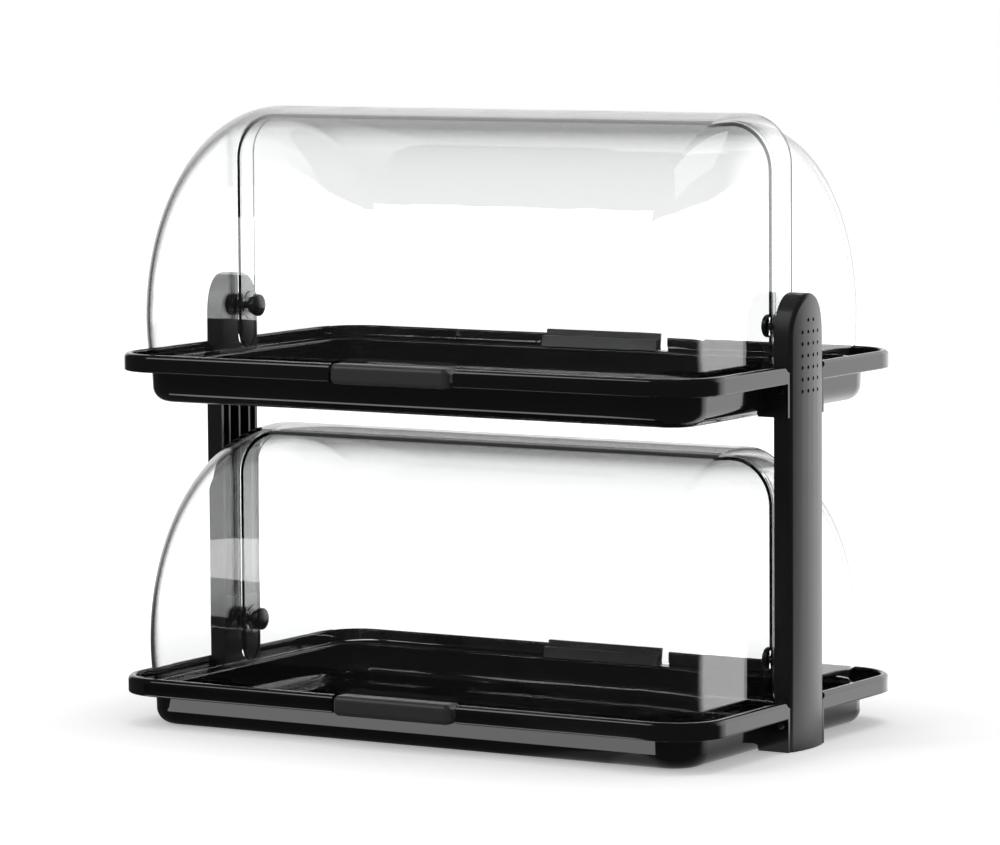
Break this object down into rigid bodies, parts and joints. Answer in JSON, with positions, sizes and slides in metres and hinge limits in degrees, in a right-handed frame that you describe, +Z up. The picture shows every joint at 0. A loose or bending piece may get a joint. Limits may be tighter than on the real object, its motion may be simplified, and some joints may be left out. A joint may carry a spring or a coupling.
{
  "type": "countertop bread display bin",
  "caption": "Two-tier roll-top display bin for bread and pastries: black trays carried by two uprights, each under clear covers that roll open on pivots.",
  "frame": {"origin": "centre of the lower tray's flat base, on the surface the bin stands on", "axes": "+Z up, +X along the tray's length to the right, -Y towards the customer side with the outer covers, +Y towards the rear covers"},
  "size_m": [0.447, 0.28, 0.3982],
  "materials": {
    "tray": "high-gloss black",
    "post": "satin black",
    "cover": "clear polished plastic",
    "grip": "matte dark grey",
    "pin": "smooth black",
    "spacer": "matte black",
    "screw": "blackened steel"
  },
  "bodies": {
    "stand": {"lower_tray_basin": "tray", "lower_tray_rim": "tray", "upper_tray_basin": "tray", "upper_tray_rim": "tray", "left_post": "post", "right_post": "post", "lower_left_pivot_pin": "pin", "lower_left_spacer": "spacer", "lower_right_pivot_pin": "pin", "lower_right_spacer": "spacer", "lower_tray_screws": "screw", "upper_left_pivot_pin": "pin", "upper_left_spacer": "spacer", "upper_right_pivot_pin": "pin", "upper_right_spacer": "spacer", "upper_tray_screws": "screw"},
    "lower_front_door": {"lower_front_cover": "cover", "lower_front_grip": "grip"},
    "lower_rear_door": {"lower_rear_cover": "cover", "lower_rear_grip": "grip"},
    "upper_front_door": {"upper_front_cover": "cover", "upper_front_grip": "grip"},
    "upper_rear_door": {"upper_rear_cover": "cover", "upper_rear_grip": "grip"}
  },
  "joints": [
    {"name": "lower_front_cover_hinge", "type": "hinge", "parent": "stand", "child": "lower_front_door", "pos_m": [0, 0, 0.055], "axis": [-1, 0, 0], "range_deg": [0, 90]},
    {"name": "lower_rear_cover_hinge", "type": "hinge", "parent": "stand", "child": "lower_rear_door", "pos_m": [0, 0, 0.055], "axis": [1, 0, 0], "range_deg": [0, 90]},
    {"name": "upper_front_cover_hinge", "type": "hinge", "parent": "stand", "child": "upper_front_door", "pos_m": [0, 0, 0.26527], "axis": [-1, 0, 0], "range_deg": [0, 90]},
    {"name": "upper_rear_cover_hinge", "type": "hinge", "parent": "stand", "child": "upper_rear_door", "pos_m": [0, 0, 0.26527], "axis": [1, 0, 0], "range_deg": [0, 90]}
  ]
}
